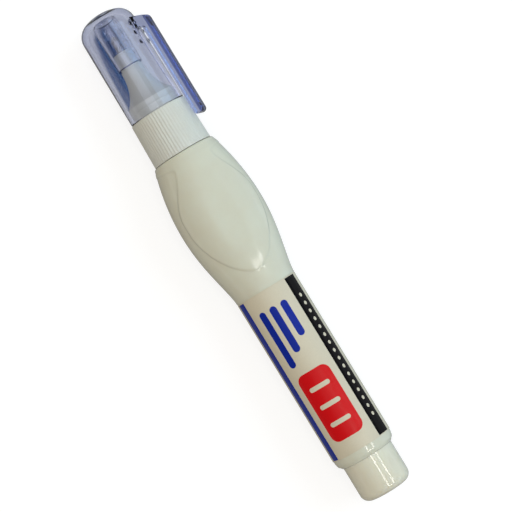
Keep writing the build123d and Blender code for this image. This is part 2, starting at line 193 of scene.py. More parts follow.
class StageSettings(bpy.types.PropertyGroup):
    """Floor, lamps and camera."""

    lean: angle_property("Lean", "Turn of the pen in the picture", 31.379)
    tilt: angle_property("Tilt", "Camera's tilt from straight down, towards +Y", 7.5)
    lead: angle_property("Lead", "Camera's tilt from straight down, towards the tail", 0.75)
    distance: length_property("Distance", "From the camera to the pen", 535 * MM)
    field: length_property("Field", "Width of the picture at the pen", 128.86 * MM)
    centre_along: length_property("Centre along", "Middle of the picture along the pen", -2.48 * MM)
    centre_across: length_property("Centre across", "Middle of the picture to the clip's side", 2.15 * MM)
    floor_colour: colour_property("Floor", "Pale floor", "#959593")
    # Painted shadow: the blue patch under the cap, which only clear plastic sees, and its glow.
    painted_shadow_colour: colour_property("Shade", "Floor under the cap, through clear plastic", "#003059")
    painted_shadow_glow: colour_property("Shade glow", "Glow of that shade", "#004587")


def linear(hex_colour):
    """Linear colour, with alpha, of an sRGB hex value."""
    channels = [int(hex_colour[i:i + 2], 16) / 255 for i in (1, 3, 5)]
    return [c / 12.92 if c <= 0.04045 else ((c + 0.055) / 1.055) ** 2.4 for c in channels] + [1.0]


def toned(colour, shares):
    """A linear colour with its red, green and blue times three shares."""
    return [channel * share for channel, share in zip(colour, shares)] + [1.0]


def per_mm(size):
    """Texture scale, for coordinates in metres, that gives a pattern of this size in millimetres."""
    return 1 / (size * MM)


def add_node(tree, kind, inputs=None, **settings):
    """Adds a shader node, gives it its settings, and links or fills its inputs."""
    made = tree.nodes.new("ShaderNode" + kind)
    for name, value in settings.items():
        setattr(made, name, value)
    for key, value in (inputs or {}).items():
        if isinstance(value, bpy.types.NodeSocket):
            tree.links.new(value, made.inputs[key])
        else:
            made.inputs[key].default_value = value
    return made


def new_material(name):
    """An empty node material: its tree, its output node and the object coordinates."""
    material = bpy.data.materials.new(name)
    material.use_nodes = True
    material.node_tree.nodes.clear()
    output = add_node(material.node_tree, "OutputMaterial")
    point = add_node(material.node_tree, "TexCoord").outputs["Object"]
    return material, material.node_tree, output, point


# Moulded plastic: shares of its colour in the flow clouds and in a crease, and the crease's line, which lies
# just outside the outline that it follows. The crease's darker colour is painted shade, with a small bump for
# its groove.
WARM_SHARES = (0.97, 0.93, 0.91)
COOL_SHARES = (1.03, 1.07, 1.09)
CREASE_PAINTED_SHADE_SHARES = (0.72, 0.72, 0.72)
CREASE_PAINTED_SHADE_FILL = 0.1
CREASE_OFFSET = 0.12 * MM
CREASE_HALF_WIDTH = 0.38 * MM
CREASE_DEPTH = 0.04 * MM


def moulded_plastic(name, colour, roughness, translucency, crease=None):
    """Moulded polyolefin: a smooth skin with slow flow clouds, and a ripple that bends its highlights.

    A crease names an attribute with the distance inside an outline, which then gets a faint line of painted
    shade and a small groove bump."""
    material, tree, output, point = new_material(name)
    base = linear(colour)
    clouds = add_node(tree, "TexNoise", {"Vector": point, "Scale": per_mm(7.0), "Detail": 4.0,
                                         "Roughness": 0.6})
    ripple = add_node(tree, "TexNoise", {"Vector": point, "Scale": per_mm(2.5), "Detail": 1.0})
    shade = add_node(tree, "MixRGB", {"Fac": clouds.outputs["Fac"], "Color1": toned(base, WARM_SHARES),
                                      "Color2": toned(base, COOL_SHARES)}).outputs["Color"]
    bump = add_node(tree, "Bump", {"Height": ripple.outputs["Fac"], "Strength": 1.0, "Distance": 0.01 * MM})
    if crease:
        edge = add_node(tree, "Attribute", attribute_name=crease, attribute_type="GEOMETRY").outputs["Fac"]
        off = add_node(tree, "Math", {0: edge, 1: CREASE_OFFSET}, operation="ADD")
        off = add_node(tree, "Math", {0: off.outputs[0]}, operation="ABSOLUTE")
        line = add_node(tree, "MapRange", {"Value": off.outputs[0], "From Min": 0.0,
                                           "From Max": CREASE_HALF_WIDTH, "To Min": 1.0, "To Max": 0.0},
                        interpolation_type="SMOOTHSTEP").outputs["Result"]
        # Painted shade: the crease's line darkens the colour a little.
        fill = add_node(tree, "Math", {0: line, 1: CREASE_PAINTED_SHADE_FILL}, operation="MULTIPLY")
        shade = add_node(tree, "MixRGB", {"Fac": fill.outputs[0], "Color1": shade,
                                          "Color2": toned(base, CREASE_PAINTED_SHADE_SHARES)}).outputs["Color"]
        bump = add_node(tree, "Bump", {"Height": line, "Strength": 0.6, "Distance": CREASE_DEPTH,
                                       "Normal": bump.outputs["Normal"]}, invert=True)
    shader = add_node(tree, "BsdfPrincipled", {
        "Base Color": shade, "Roughness": roughness, "Normal": bump.outputs["Normal"],
        "IOR": 1.51, "Subsurface Weight": translucency, "Subsurface Radius": (1.0, 0.9, 0.7),
        "Subsurface Scale": 1.2 * MM})
    tree.links.new(shader.outputs["BSDF"], output.inputs["Surface"])
    return material


def printed_patch(tree, place, centre, half, corner):
    """Mask of a printed patch with round corners: its centre and half sizes are along and round the label."""
    middle = add_node(tree, "VectorMath", {0: place, 1: (*centre, 0.0)}, operation="SUBTRACT")
    out = add_node(tree, "VectorMath", {0: middle.outputs["Vector"]}, operation="ABSOLUTE")
    flat = (half[0] - corner, half[1] - corner, 1.0)
    past = add_node(tree, "VectorMath", {0: out.outputs["Vector"], 1: flat}, operation="SUBTRACT")
    past = add_node(tree, "VectorMath", {0: past.outputs["Vector"], 1: (0.0, 0.0, 0.0)}, operation="MAXIMUM")
    reach = add_node(tree, "VectorMath", {0: past.outputs["Vector"]}, operation="LENGTH")
    mask = add_node(tree, "Math", {0: reach.outputs["Value"], 1: corner}, operation="LESS_THAN")
    return mask.outputs["Value"]


def printed_patches(settings, length, place, dots):
    """Ink, coordinates, centre, half size and corner radius of each patch of the print, lowest first."""
    white, dark, red, blue = (linear(getattr(settings, name)) for name in
                              ("film_colour", "dark_colour", "red_colour", "blue_colour"))
    half = length / 2
    stripe, stripe_round = settings.stripe_half_width, settings.stripe_round
    corner = settings.stripe_corner
    plain_end = (settings.stripe_plain, stripe)
    dot, bar = settings.dot_radius, settings.bar_half_width
    panel = (settings.panel_half_length, settings.panel_half_width)
    slot = (settings.slot_half_width, settings.slot_half_length)
    patches = [
        (blue, place, (half, settings.edge_round), (length, settings.edge_half_width), settings.edge_corner),
        (dark, place, (half, stripe_round), (half, stripe), corner),
        (white, dots, (settings.dot_pitch / 2, stripe_round), (dot, dot), dot),
        (dark, place, (0.0, stripe_round), plain_end, corner),
        (dark, place, (length, stripe_round), plain_end, corner),
        (red, place, (settings.panel_along, settings.panel_round), panel, settings.panel_corner)]
    for i in range(3):
        shorter = settings.bar_step * i
        bar_round = settings.panel_round + (i - 1) * settings.bar_pitch
        bar_half = (settings.bar_half_length - shorter, bar)
        slot_along = settings.slot_along + settings.slot_pitch * i
        patches += [
            (blue, place, (settings.bar_along - shorter, bar_round), bar_half, bar),
            (white, place, (slot_along, settings.panel_round), slot, slot[0])]
    return patches


def printed_film(settings):
    """White polypropylene film with a thin varnish over flexo print: flat inks with a faint screen grain.

    The grain is drawn coarser than a real screen, so that it shows."""
    material, tree, output, point = new_material("Printed_film")
    axes = add_node(tree, "SeparateXYZ", {"Vector": point})
    down = add_node(tree, "Math", {0: LABEL_HIGH.x, 1: axes.outputs["X"]}, operation="SUBTRACT").outputs[0]
    side = add_node(tree, "Math", {0: axes.outputs["Y"], 1: -1.0}, operation="MULTIPLY")
    height = add_node(tree, "Math", {0: axes.outputs["Z"], 1: AXIS_HEIGHT}, operation="SUBTRACT")
    turn = add_node(tree, "Math", {0: side.outputs[0], 1: height.outputs[0]}, operation="ARCTAN2")
    girth = add_node(tree, "Math", {0: turn.outputs[0], 1: LABEL_RADIUS}, operation="MULTIPLY").outputs[0]
    place = add_node(tree, "CombineXYZ", {"X": down, "Y": girth}).outputs["Vector"]
    row = add_node(tree, "Math", {0: down, 1: settings.dot_pitch, 2: 0.0}, operation="WRAP")
    dots = add_node(tree, "CombineXYZ", {"X": row.outputs[0], "Y": girth}).outputs["Vector"]

    length = LABEL_HIGH.x - LABEL_LOW.x
    white = linear(settings.film_colour)
    colour = white
    for ink, where, centre, half, corner in printed_patches(settings, length, place, dots):
        mask = printed_patch(tree, where, centre, half, corner)
        colour = add_node(tree, "MixRGB", {"Fac": mask, "Color1": colour, "Color2": ink}).outputs["Color"]
    between_ends = add_node(tree, "Math", {0: down, 1: length / 2, 2: length / 2 - settings.end_margin},
                            operation="COMPARE")
    colour = add_node(tree, "MixRGB", {"Fac": between_ends.outputs[0], "Color1": white, "Color2": colour})
    screen = add_node(tree, "TexNoise", {"Vector": point, "Scale": per_mm(0.35), "Detail": 2.0})
    grain = add_node(tree, "MapRange", {"Value": screen.outputs["Fac"], "To Min": 0.94, "To Max": 1.04})
    colour = add_node(tree, "VectorMath", {0: colour.outputs["Color"], 1: grain.outputs["Result"]},
                      operation="MULTIPLY")
    waves = add_node(tree, "TexNoise", {"Vector": point, "Scale": per_mm(9.0), "Detail": 1.0})
    bump = add_node(tree, "Bump", {"Height": waves.outputs["Fac"], "Strength": 0.1, "Distance": 0.1 * MM})
    shader = add_node(tree, "BsdfPrincipled", {"Base Color": colour.outputs["Vector"], "Roughness": 0.26,
                                               "Normal": bump.outputs["Normal"], "Specular IOR Level": 0.18})
    tree.links.new(shader.outputs["BSDF"], output.inputs["Surface"])
    return material


# Share of the steel's colour in the rings' valleys: painted shade.
VALLEY_PAINTED_SHADE_SHARES = (0.8, 0.8, 0.8)


def ground_steel(name, colour, ring_size, roughest):
    """Stainless steel, turned and ground to a satin sheen: fine rings round its axis, with painted shade
    darkening the valleys.

    The rings lie about a third of ring_size apart, coarser than real ones, so that they show."""
    material, tree, output, point = new_material(name)
    bright = linear(colour)
    rings = add_node(tree, "TexWave", {"Vector": point, "Scale": per_mm(ring_size), "Distortion": 0.6,
                                       "Detail": 2.0}, wave_type="BANDS", bands_direction="X").outputs["Fac"]
    bump = add_node(tree, "Bump", {"Height": rings, "Strength": 0.15, "Distance": 0.01 * MM})
    gloss = add_node(tree, "MapRange", {"Value": rings, "To Min": roughest, "To Max": roughest / 2})
    # Painted shade: the rings' valleys get the darker colour.
    shade = add_node(tree, "MixRGB", {"Fac": rings, "Color1": toned(bright, VALLEY_PAINTED_SHADE_SHARES), "Color2": bright})
    shader = add_node(tree, "BsdfPrincipled", {
        "Base Color": shade.outputs["Color"], "Metallic": 0.75, "Roughness": gloss.outputs["Result"],
        "Normal": bump.outputs["Normal"]})
    tree.links.new(shader.outputs["BSDF"], output.inputs["Surface"])
    return material


# The clip stands out from the cap at this rise over the level. Its outer face, to this depth, gets a painted
# dark tint that stands in for shade, and is shaded as an arch of this radius whose top lies to one side of
# the clip's middle.
CLIP_RISE = math.radians(22.5)
CLIP_FACE_DEPTH = 0.5 * MM
CLIP_ARCH_RADIUS = 11.2 * MM
CLIP_ARCH_SIDE = 2.2 * MM


def tinted_styrene(tint, clip_painted_shade, dye, depth):
    """Clear polystyrene with a violet-blue dye: polished walls, darker where more of them is seen through.

    The clip's outer face has painted shade, a deeper tint than the rest. Light that falls on the pen passes
    straight through the upper half, so that the nozzle inside is lit."""
    material, tree, output, point = new_material("Tinted_clear_styrene")
    flow = add_node(tree, "TexNoise", {"Vector": point, "Scale": per_mm(3.0), "Detail": 1.0})
    bump = add_node(tree, "Bump", {"Height": flow.outputs["Fac"], "Strength": 0.03, "Distance": 0.03 * MM})
    wear = add_node(tree, "TexNoise", {"Vector": point, "Scale": per_mm(1.2), "Detail": 4.0})
    haze = add_node(tree, "MapRange", {"Value": wear.outputs["Fac"], "From Min": 0.4, "From Max": 0.8,
                                       "To Min": 0.015, "To Max": 0.06})

    axis = Vector((0.0, 0.0, AXIS_HEIGHT))
    clip_way = (0.0, -math.cos(CLIP_RISE), math.sin(CLIP_RISE))
    edge_way = (0.0, math.sin(CLIP_RISE), math.cos(CLIP_RISE))
    reach = max((vertex.co - axis).dot(clip_way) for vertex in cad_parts["cap"].data.vertices)
    from_axis = add_node(tree, "VectorMath", {0: point, 1: axis}, operation="SUBTRACT").outputs["Vector"]
    out = add_node(tree, "VectorMath", {0: from_axis, 1: clip_way}, operation="DOT_PRODUCT")
    over = add_node(tree, "VectorMath", {0: from_axis, 1: edge_way}, operation="DOT_PRODUCT")
    face = add_node(tree, "Math", {0: out.outputs["Value"], 1: reach - CLIP_FACE_DEPTH},
                    operation="GREATER_THAN").outputs[0]
    inside = add_node(tree, "NewGeometry").outputs["Backfacing"]
    entry = add_node(tree, "Math", {0: face, 1: inside}, operation="SUBTRACT", use_clamp=True)
    # Painted shade: the clip's outer face, seen from outside, gets the deeper tint.
    colour = add_node(tree, "MixRGB", {"Fac": entry.outputs[0], "Color1": linear(tint),
                                       "Color2": linear(clip_painted_shade)})
    arch = add_node(tree, "Math", {0: over.outputs["Value"], 1: CLIP_ARCH_SIDE}, operation="ADD")
    arch = add_node(tree, "Math", {0: arch.outputs[0], 1: arch.outputs[0]}, operation="MULTIPLY")
    arch = add_node(tree, "Math", {0: arch.outputs[0], 1: face}, operation="MULTIPLY")
    bump = add_node(tree, "Bump", {"Height": arch.outputs[0], "Strength": 1.0,
                                   "Distance": 1 / (2 * CLIP_ARCH_RADIUS),
                                   "Normal": bump.outputs["Normal"]}, invert=True)
    shader = add_node(tree, "BsdfPrincipled", {
        "Base Color": colour.outputs["Color"], "Roughness": haze.outputs["Result"], "IOR": 1.57,
        "Transmission Weight": 1.0, "Normal": bump.outputs["Normal"]})

    rays = add_node(tree, "LightPath")
    lighting = add_node(tree, "Math", {0: rays.outputs["Is Shadow Ray"], 1: rays.outputs["Is Diffuse Ray"]},
                        operation="MAXIMUM")
    height = add_node(tree, "SeparateXYZ", {"Vector": point}).outputs["Z"]
    upper = add_node(tree, "Math", {0: height, 1: AXIS_HEIGHT}, operation="GREATER_THAN")
    passes = add_node(tree, "Math", {0: lighting.outputs[0], 1: upper.outputs[0]}, operation="MULTIPLY")
    clear = add_node(tree, "BsdfTransparent")
    surface = add_node(tree, "MixShader", {0: passes.outputs[0], 1: shader.outputs["BSDF"],
                                           2: clear.outputs["BSDF"]})
    absorption = add_node(tree, "VolumeAbsorption", {"Color": linear(dye), "Density": depth})
    tree.links.new(surface.outputs["Shader"], output.inputs["Surface"])
    tree.links.new(absorption.outputs["Volume"], output.inputs["Volume"])
    return material


def dress(node_name, material):
    """Gives a CAD node its finish."""
    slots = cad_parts[node_name].data.materials
    slots.clear()
    slots.append(material)


# Rings of the bottle: steps of a small round, of the barrel's rounded end and of the bore. The first steps
# of the rounded end lie inside its small round and are left out. The swell's power makes the belly leave the
# barrel gently.
ROUND_STEPS = 6
END_STEPS = 10
END_FIRST_STEP = 3
BORE_STEPS = 20
SWELL_POWER = 1.5


def belly_peak(settings):
    """Place along the pen where the belly is widest."""
    return BELLY_START + settings.belly_back


def belly_sizes(settings, along):
    """Half width and half depth of the belly's oval at a place along the pen."""
    peak = belly_peak(settings)
    if along < peak:
        radius = LABEL_RADIUS
        swell = max(1 - ((peak - along) / settings.belly_back) ** 2, 0) ** SWELL_POWER
    else:
        radius = settings.shoulder_radius
        swell = 1 - ((along - peak) / (SHOULDER - peak)) ** 2
    half_width = BODY_HIGH.y
    return radius + (half_width - radius) * swell, radius + (settings.belly_depth - radius) * swell


def bottle_rings(settings):
    """Place, half width and half depth of each ring of the bottle, along its outside and back in its bore."""
    barrel = LABEL_RADIUS - settings.film
    tail = BODY_LOW.x
    edge = barrel - settings.end_drop
    bend = (settings.end_length ** 2 + settings.end_drop ** 2) / (2 * settings.end_drop)
    rings = [(tail, settings.lip_bore), (tail, edge - settings.end_round)]
    for i in range(1, ROUND_STEPS):
        turn = math.pi / 2 * i / ROUND_STEPS
        rings.append((tail + settings.end_round * (1 - math.cos(turn)),
                      edge - settings.end_round * (1 - math.sin(turn))))
    for i in range(END_FIRST_STEP, END_STEPS + 1):
        left = settings.end_length * (1 - i / END_STEPS)
        rings.append((tail + settings.end_length * i / END_STEPS,
                      barrel - bend + math.sqrt(bend ** 2 - left ** 2)))
    rings += [(LABEL_LOW.x, barrel), (BELLY_START, barrel)]
    rings = [(along, radius, radius) for along, radius in rings]

    front = SHOULDER - settings.shoulder_round
    count = round((front - BELLY_START) / settings.ring_step)
    for i in range(count + 1):
        along = BELLY_START + (front - BELLY_START) * i / count
        rings.append((along, *belly_sizes(settings, along)))
    half_width, half_depth = belly_sizes(settings, front)
    for i in range(1, ROUND_STEPS + 1):
        turn = math.pi / 2 * i / ROUND_STEPS
        drop = settings.shoulder_round * (1 - math.cos(turn))
        rings.append((front + settings.shoulder_round * math.sin(turn), half_width - drop, half_depth - drop))

    inner_end = SHOULDER - settings.wall
    bore = settings.neck_radius - settings.neck_wall
    for along, radius in ((SHOULDER, settings.neck_radius), (BODY_HIGH.x, settings.neck_radius),
                          (BODY_HIGH.x, bore), (inner_end, bore)):
        rings.append((along, radius, radius))
    for i in range(BORE_STEPS + 1):
        along = inner_end + (BELLY_START - inner_end) * i / BORE_STEPS
        half_width, half_depth = belly_sizes(settings, along)
        rings.append((along, half_width - settings.wall, half_depth - settings.wall))
    inside = barrel - settings.wall
    for along, radius in ((BELLY_START - settings.wall, inside), (tail + settings.lip_length, inside),
                          (tail + settings.lip_length, settings.lip_bore), (tail, settings.lip_bore)):
        rings.append((along, radius, radius))
    return rings


def soft_step(inside, width):
    """Rises smoothly from 0 to 1 over a width about an outline, from the distance inside it."""
    share = min(max(inside / width + 0.5, 0), 1)
    return share * share * (3 - 2 * share)


# Outline of a thumb pad: the powers of its round tip's curve, and the least rest that keeps the curve's slope
# finite. Towards the shoulder it keeps its full width for a share of the way and then narrows by a share, at
# a rate of about a quarter turn over the way left. There it blends into a band that leans with the width.
TIP_ALONG_POWER = 1.8
TIP_WIDTH_POWER = 0.6
TIP_LEAST_REST = 0.001
FULL_WIDTH_SHARE = 0.13
NARROWING = 0.56
NARROWING_RATE = 1.8
BAND_LEAN = 0.2
BAND_BLEND = 0.9 * MM


def pad_distance(settings, point):
    """Distance of a point of the belly inside the raised outline of a pad and the shoulder's band."""
    peak = belly_peak(settings)
    half_width = settings.pad_half_width
    across = abs(point.y)
    if point.x < peak:
        along = (peak - point.x) / settings.pad_back
        rest = 1 - along ** TIP_ALONG_POWER
        if rest <= 0:
            return -math.hypot(point.x - peak + settings.pad_back, across)
        slope = half_width / settings.pad_back * TIP_ALONG_POWER * TIP_WIDTH_POWER
        slope *= along ** (TIP_ALONG_POWER - 1) * max(rest, TIP_LEAST_REST) ** (TIP_WIDTH_POWER - 1)
        return (half_width * rest ** TIP_WIDTH_POWER - across) / math.hypot(1, slope)
    along = (point.x - peak) / (SHOULDER - peak)
    turn = math.pi / 2 * max(along - FULL_WIDTH_SHARE, 0) / (1 - FULL_WIDTH_SHARE)
    slope = half_width * NARROWING * math.sin(2 * turn) * NARROWING_RATE / (SHOULDER - peak)
    inside = (half_width * (1 - NARROWING * math.sin(turn) ** 2) - across) / math.hypot(1, slope)
    past_band = point.x - (SHOULDER - settings.band_length) - BAND_LEAN * (across - half_width / 2)
    return (inside + past_band + math.hypot(inside - past_band, BAND_BLEND)) / 2


# Rise of the pads: the share lost at the tip, the share lost towards the shoulder and how far along that is
# complete, and the length over which the rise runs out at the shoulder's edge.
TIP_LOSS = 0.45
FRONT_LOSS = 0.55
FRONT_REACH = 0.8
EDGE_EASE = 1.6 * MM


def pad_share(settings, point):
    """Share of the pads' full rise at a place along the belly."""
    peak = belly_peak(settings)
    back = min(max(peak - point.x, 0) / settings.pad_back, 1)
    along = max(point.x - peak, 0) / (SHOULDER - peak)
    ease = min(max((SHOULDER - settings.shoulder_round - point.x) / EDGE_EASE, 0), 1)
    return (1 - TIP_LOSS * back ** 2) * (1 - FRONT_LOSS * min(along / FRONT_REACH, 1) ** 2) * ease


# Points past this share of the belly's oval are on its outer skin, and the pads' rise meets the flat that the
# pen lies on this softly. A point away from the pads counts as this far outside them.
SKIN_SHARE = 0.99
FLAT_EASE = 0.5
FAR_OUTSIDE = -1.0


class PEN_OT_bottle(bpy.types.Operator):
    """Models the squeeze bottle with its soft-edged thumb pads"""

    bl_idname = "pen.bottle"
    bl_label = "Squeeze bottle"

    def execute(self, context):
        settings = context.scene.pen_bottle
        rings = bottle_rings(settings)
        along, half_width, half_depth = rings[0]
        bpy.ops.object.select_all(action="DESELECT")
        bpy.ops.mesh.primitive_circle_add(vertices=settings.sides, radius=half_width,
                                          location=(along, 0, AXIS_HEIGHT), rotation=(0, math.pi / 2, 0))
        bottle = context.object
        bottle.name = "squeeze_bottle"
        bpy.ops.object.transform_apply(location=True, rotation=True, scale=True)
        bpy.ops.object.mode_set(mode="EDIT")
        bpy.ops.mesh.select_all(action="SELECT")
        for next_along, next_width, next_depth in rings[1:]:
            bpy.ops.mesh.extrude_region_move(TRANSFORM_OT_translate={"value": (next_along - along, 0, 0)})
            bpy.ops.transform.resize(value=(1, next_width / half_width, next_depth / half_depth),
                                     center_override=(next_along, 0, AXIS_HEIGHT))
            along, half_width, half_depth = next_along, next_width, next_depth
        bpy.ops.mesh.select_all(action="SELECT")
        bpy.ops.mesh.remove_doubles(threshold=MERGE_DISTANCE)
        bpy.ops.mesh.normals_make_consistent(inside=False)
        bpy.ops.object.mode_set(mode="OBJECT")
        self.raise_pads(bottle, settings)
        bpy.ops.object.shade_smooth_by_angle(angle=SMOOTH_ANGLE)
        bottle.data.materials.append(moulded_plastic("Satin_white_polyethylene", settings.colour,
                                                     roughness=0.09, translucency=0.25, crease="pad_edge"))
        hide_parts("body")
        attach(bottle, "pen")
        return {"FINISHED"}

    def raise_pads(self, bottle, settings):
        """Displaces the belly by a painted mask, up to the flat that the pen lies on."""
        group = bottle.vertex_groups.new(name="thumb_pads")
        flat = BODY_HIGH.z - AXIS_HEIGHT
        distances = []
        for vertex in bottle.data.vertices:
            point = vertex.co
            height = abs(point.z - AXIS_HEIGHT)
            half_width, half_depth = belly_sizes(settings, point.x)
            outside = math.hypot(point.y / half_width, height / half_depth) > SKIN_SHARE
            distances.append(FAR_OUTSIDE)
            if LABEL_HIGH.x < point.x < SHOULDER - settings.shoulder_round and outside:
                distances[-1] = pad_distance(settings, point)
                share = soft_step(distances[-1], settings.pad_edge) * pad_share(settings, point)
                room = (flat - height) / settings.pad_rise
                level = (share + room - math.hypot(share - room, FLAT_EASE)) / 2
                group.add([vertex.index], max(level, 0) if share else 0, "REPLACE")
        edge = bottle.data.attributes.new("pad_edge", "FLOAT", "POINT")
        edge.data.foreach_set("value", distances)
        rise = bottle.modifiers.new("Pads", "DISPLACE")
        rise.vertex_group = group.name
        rise.strength = settings.pad_rise
        rise.mid_level = 0
        bpy.ops.object.modifier_apply(modifier=rise.name)


class PEN_OT_label(bpy.types.Operator):
    """Prints the film label"""

    bl_idname = "pen.label"
    bl_label = "Film label"

    def execute(self, context):
        dress("label", printed_film(context.scene.pen_label))
        return {"FINISHED"}


class PEN_OT_plug(bpy.types.Operator):
    """Finishes the tail plug"""

    bl_idname = "pen.plug"
    bl_label = "Tail plug"

    def execute(self, context):
        dress("tail_plug", moulded_plastic("Natural_polyethylene", context.scene.pen_plug.colour,
                                           roughness=0.07, translucency=0.35))
        return {"FINISHED"}


class PEN_OT_nozzle(bpy.types.Operator):
    """Finishes the nozzle and the spring's retainer"""

    bl_idname = "pen.nozzle"
    bl_label = "Nozzle"

    def execute(self, context):
        white = moulded_plastic("White_polypropylene", context.scene.pen_nozzle.colour,
                                roughness=0.3, translucency=0.15)
        dress("nozzle", white)
        dress("spring_retainer", white)
        return {"FINISHED"}


class PEN_OT_tip(bpy.types.Operator):
    """Finishes the metal tip, its needle and the mixing ball"""

    bl_idname = "pen.tip"
    bl_label = "Metal tip"

    def execute(self, context):
        settings = context.scene.pen_tip
        steel = ground_steel("Ground_stainless_steel", settings.steel_colour, ring_size=0.6, roughest=0.2)
        dress("tip_tube", steel)
        dress("valve_pin", steel)
        dress("mixing_ball", ground_steel("Lapped_bearing_steel", settings.ball_colour,
                                          ring_size=1.5, roughest=0.1))
        return {"FINISHED"}


class PEN_OT_spring(bpy.types.Operator):
    """Winds the valve's spring at the CAD spring's length. In the pen, the spring shortens as the needle is
    pushed in.
    """

    bl_idname = "pen.spring"
    bl_label = "Valve spring"

    def execute(self, context):
        settings = context.scene.pen_spring
        wire = settings.wire_radius
        length = SPRING_HIGH.x - SPRING_LOW.x
        coil = (SPRING_HIGH.z - SPRING_LOW.z) / 2 - wire
        back = (SPRING_LOW.x, 0, AXIS_HEIGHT)
        bpy.ops.object.select_all(action="DESELECT")
        bpy.ops.mesh.primitive_circle_add(vertices=settings.wire_sides, radius=wire, location=back)
        spring = context.object
        spring.name = "coil_spring"
        bpy.ops.object.mode_set(mode="EDIT")
        bpy.ops.mesh.select_all(action="SELECT")
        bpy.ops.transform.translate(value=(wire, coil, 0))
        bpy.ops.object.mode_set(mode="OBJECT")
        winding = spring.modifiers.new("Winding", "SCREW")
        winding.axis = "X"
        winding.iterations = settings.turns
        winding.screw_offset = (length - 2 * wire) / settings.turns
        winding.steps = winding.render_steps = settings.steps
        bpy.ops.object.modifier_apply(modifier=winding.name)
        bpy.ops.object.mode_set(mode="EDIT")
        bpy.ops.mesh.select_all(action="SELECT")
        bpy.ops.mesh.remove_doubles(threshold=MERGE_DISTANCE)
        bpy.ops.mesh.fill_holes(sides=0)
        bpy.ops.mesh.select_all(action="SELECT")
        bpy.ops.mesh.normals_make_consistent(inside=False)
        bpy.ops.object.mode_set(mode="OBJECT")
        bpy.ops.object.transform_apply(location=True, rotation=True, scale=True)
        bpy.ops.object.shade_smooth_by_angle(angle=SMOOTH_ANGLE)
        spring.data.materials.append(ground_steel("Drawn_spring_wire", settings.colour,
                                                  ring_size=0.5, roughest=0.3))
        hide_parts("valve_spring")
        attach(spring, "pen")
        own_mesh(spring)
        return {"FINISHED"}


class PEN_OT_cap(bpy.types.Operator):
    """Finishes the tinted clear cap"""

    bl_idname = "pen.cap"
    bl_label = "Clear cap"

    def execute(self, context):
        settings = context.scene.pen_cap
        dress("cap", tinted_styrene(settings.tint, settings.clip_painted_shade, settings.dye, settings.depth))
        return {"FINISHED"}


# Floor: its size and how far it lies under the pen, what it adds to its own colour for camera, mirror and
# clear plastic, and the middle, turn and half sizes of the blue painted shadow under the cap, which only
# clear plastic sees.
FLOOR_SIZE = 6.0
FLOOR_DROP = 0.02 * MM
CAMERA_GLOW = 0.78
MIRROR_GLOW = 0.12
CLEAR_GLOW = 0.34
PAINTED_SHADOW_PLACE = (55.5 * MM, 3.0 * MM, 0.0)
PAINTED_SHADOW_TURN = (0.0, 0.0, math.radians(-11))
PAINTED_SHADOW_SIZE = (19.0 * MM, 6.5 * MM, 1.0)

# Room: its light, the heights in a view direction between which the white backdrop ends, and the brightness
# of the ceiling over it.
ROOM_LIGHT = (0.45, 0.4, 0.345, 1.0)
BACKDROP_END = (0.06, 0.18)
CEILING_LEVEL = 0.12

# Camera's sensor in millimetres, and the lamp frame: how far its middle lies past the picture's middle on the
# tail's side, in metres, and its angle from the view towards the clip's side, in degrees.
SENSOR_WIDTH = 36.0
FRAME_BACK = 0.5025
FRAME_ANGLE = 23.4


